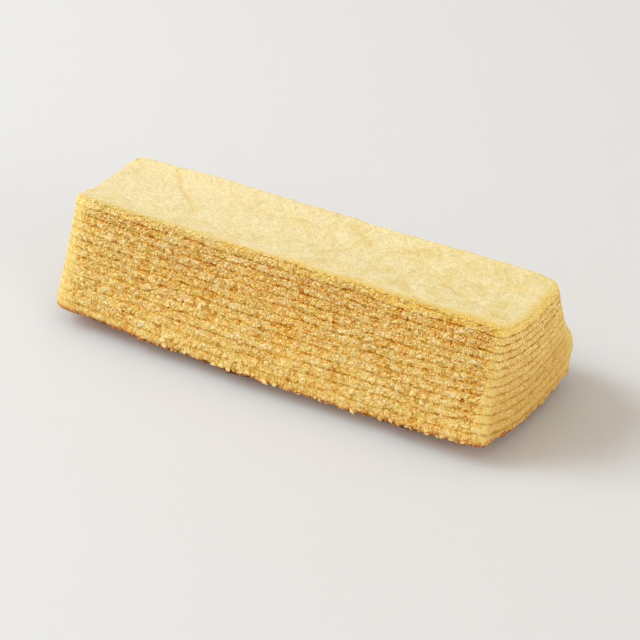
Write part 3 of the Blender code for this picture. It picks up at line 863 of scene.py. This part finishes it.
def crumb_lumps(name, side, seed):
    """Crumbs on one long face, at side -1 or 1. Each is the ball, stretched, knocked out of shape
    by a random push on each point, turned, and placed on the face as its own relief has it. One in
    six lies near the crust, and at the front one in four lies in the first coat."""
    draw = np.random.default_rng(seed)
    count = CRUMB_TRIES
    x = draw.uniform(-1, 1, count) * (HALF_LENGTH - END_CLEARANCE)
    layer = draw.uniform(0.3, LAYERS - 0.15, count)
    layer[::6] = LAYERS - 0.32 + 0.12 * draw.standard_normal(count)[::6].clip(-1.5, 1.5)
    bare = (layer > LAYERS - 1) & (x < BARE_FOOT_TO)
    if side < 0:
        layer[1::4] = 0.30 + 0.18 * draw.standard_normal(count)[1::4].clip(-1.5, 1.5)
    down = depth_of(layer)
    rough = waves(x, down, (1.0, CRUMB_PATCH, seed + 1)) + waves(x, down, (0.4, CRUMB_CLUSTER, seed + 2))
    kept = (draw.uniform(-0.6, 1.8, count) < rough) & ~bare
    x, layer = x[kept], layer[kept]
    count = len(x)
    middle, _ = dressed(np.stack([x, np.full(count, side * HALF_WIDTH), layer], axis=-1))

    outwards = np.array([0, side * math.cos(HALF_ANGLE), math.sin(HALF_ANGLE)])
    lengthwise = np.array([1.0, 0, 0])
    upwards = np.cross(outwards, lengthwise) * -side
    size = CRUMB_SIZE * np.exp(CRUMB_SPREAD * draw.standard_normal(count)).clip(0.5, 2.2)
    stretch = draw.uniform(LEAST_STRETCH, MOST_STRETCH, (count, 3))
    points, faces = ball()
    push = 1 + draw.uniform(-CRUMB_KNOCK, CRUMB_KNOCK, (count, len(points)))
    shape = points[None] * push[..., None] * stretch[:, None] * size[:, None, None]
    turn = draw.uniform(-CRUMB_TURN, CRUMB_TURN, count)[:, None]
    lean = draw.uniform(-CRUMB_LEAN, CRUMB_LEAN, count)[:, None]
    along = shape[..., 0] * np.cos(turn) - shape[..., 1] * np.sin(turn)
    up = shape[..., 0] * np.sin(turn) + shape[..., 1] * np.cos(turn)
    out = shape[..., 2] + along * np.sin(lean)
    places = middle[:, None] + along[..., None] * lengthwise
    places = places + up[..., None] * upwards + out[..., None] * outwards
    places[..., 2] = np.maximum(places[..., 2], LEAST_HEIGHT)
    tip = (out / size[:, None]).clip(-1, 1)
    tone = (0.25 + 0.5 * (size / CRUMB_SIZE - 1) + draw.uniform(0, 0.5, count)).clip(0, 1)
    tone, layer = np.repeat(tone, len(points)), np.repeat(layer, len(points))
    faces = (faces[None] + len(points) * np.arange(count)[:, None, None]).reshape(-1, 3)
    marks = {"tip": tip.ravel(), "tone": tone, "layer": layer}
    return closed_mesh(name, places.reshape(-1, 3), [faces[:, ::-side]], [], marks)


def crumb_finish():
    """Torn crumbs: golden with painted shade where sunk, cream with painted highlight at the tip."""
    g = Graph("torn_crumb")
    fine, grain = g.noise(FINE_SPOTS, 3), g.noise(GRAIN_SPOTS, 2)
    # The tip's cream is painted highlight, the sunk part's gold painted shade, over each crumb's own
    # tone.
    own = g.total((g.attribute("tip"), 0.15), (g.attribute("tone"), 0.35))
    level = g.total((own, 1.0), (fine, 0.35), (grain, 0.10), (1.0, 0.02))
    colour = g.ramp(level, *CRUMB_STOPS)
    upper = g.span(g.attribute("layer"), 7.5, 0.5)
    colour = g.mix(g.product(upper, 0.22), colour, UPPER_LUMP)
    tone = g.total((grain, 1.2), (fine, 0.6), (1.0, 0.09))
    g.put(g.shader.inputs["Base Color"], g.scaled(colour, tone))
    g.shader.inputs["Roughness"].default_value = 0.88
    g.shader.inputs["Specular IOR Level"].default_value = 0.22
    relief = g.total((fine, 1.0), (grain, 0.8))
    g.put(g.shader.inputs["Normal"], g.bump(relief, LUMP_BUMP))
    return g.material


torn_crumb = crumb_finish()
for name, side, seed in (("front_crumbs", -1, 51), ("back_crumbs", 1, 61)):
    crumbs = crumb_lumps(name, side, seed)
    crumbs.data.materials.append(torn_crumb)
    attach(crumbs, "root")

# ---- Table, light and camera ---------------------------------------------------------------------
# A pale matt table with a little light spreading under its surface, one soft lamp from the upper
# left, a warmer one from the right, a white room, and a long lens looking down at the bar.

TABLE_HALF = 4.0
TABLE_COLOUR = srgb(204, 205, 205)
TABLE_GLOW_RADIUS, TABLE_GLOW_SCALE = (1.0, 0.68, 0.58), 0.030
WINDOW_COLOUR, REFLECTOR_COLOUR = (0.965, 0.995, 1.04), (1.0, 0.935, 0.86)
ROOM_COLOUR, ROOM_STRENGTH = (1.06, 0.985, 0.90, 1), 0.67
CAMERA_AZIMUTH = math.radians(31.46)
CAMERA_AT, CAMERA_AIM = (0.3790, -0.6134, 0.4598), (-0.0061, 0.0161, -0.0008)
LENS_LENGTH, FILM_WIDTH = 168.75, 36.0  # in millimetres


def seen(right, away, up):
    """A direction in the part's frame, from one to the camera's right, away from it and up."""
    across = right * math.cos(CAMERA_AZIMUTH) - away * math.sin(CAMERA_AZIMUTH)
    back = right * math.sin(CAMERA_AZIMUTH) + away * math.cos(CAMERA_AZIMUTH)
    return np.array([across, back, up])


def soft_lamp(name, toward, distance, size, power, colour):
    """A square lamp of the given size, placed at that distance towards a direction, facing the bar."""
    light = bpy.data.lights.new(name, "AREA")
    light.shape = "SQUARE"
    light.size = size
    light.energy = power
    light.color = colour
    lamp = bpy.data.objects.new(name, light)
    bpy.context.scene.collection.objects.link(lamp)
    lamp.location = toward / np.linalg.norm(toward) * distance
    lamp.rotation_euler = (-lamp.location).to_track_quat("-Z", "Y").to_euler()


table_top = bpy.data.meshes.new("table")
table_corners = [(x * TABLE_HALF, y * TABLE_HALF, 0) for x, y in ((-1, -1), (1, -1), (1, 1), (-1, 1))]
table_top.from_pydata(table_corners, [], [(0, 1, 2, 3)])
table = bpy.data.objects.new("table", table_top)
bpy.context.scene.collection.objects.link(table)
surface = Graph("table")
surface.shader.inputs["Base Color"].default_value = TABLE_COLOUR
surface.shader.inputs["Roughness"].default_value = 0.6
surface.shader.inputs["Specular IOR Level"].default_value = 0.2
surface.shader.subsurface_method = "BURLEY"
surface.shader.inputs["Subsurface Weight"].default_value = 1.0
surface.shader.inputs["Subsurface Radius"].default_value = TABLE_GLOW_RADIUS
surface.shader.inputs["Subsurface Scale"].default_value = TABLE_GLOW_SCALE
table.data.materials.append(surface.material)

soft_lamp("window", seen(-0.80, 0.20, 0.80), 1.4, 0.70, 16.9, WINDOW_COLOUR)
soft_lamp("reflector", seen(0.62, -0.74, 0.26), 1.6, 0.90, 11.4, REFLECTOR_COLOUR)

room = bpy.data.worlds.new("room")
room.use_nodes = True
room.node_tree.nodes["Background"].inputs["Color"].default_value = ROOM_COLOUR
room.node_tree.nodes["Background"].inputs["Strength"].default_value = ROOM_STRENGTH
bpy.context.scene.world = room

lens = bpy.data.cameras.new("camera")
lens.lens = LENS_LENGTH
lens.sensor_width = FILM_WIDTH
lens.clip_start = 0.01
camera = bpy.data.objects.new("camera", lens)
bpy.context.scene.collection.objects.link(camera)
camera.location = CAMERA_AT
view = camera.location.copy()
view.x, view.y, view.z = (aim - at for aim, at in zip(CAMERA_AIM, CAMERA_AT))
camera.rotation_euler = view.to_track_quat("-Z", "Y").to_euler()
bpy.context.scene.camera = camera
bpy.context.scene.view_settings.view_transform = "Standard"
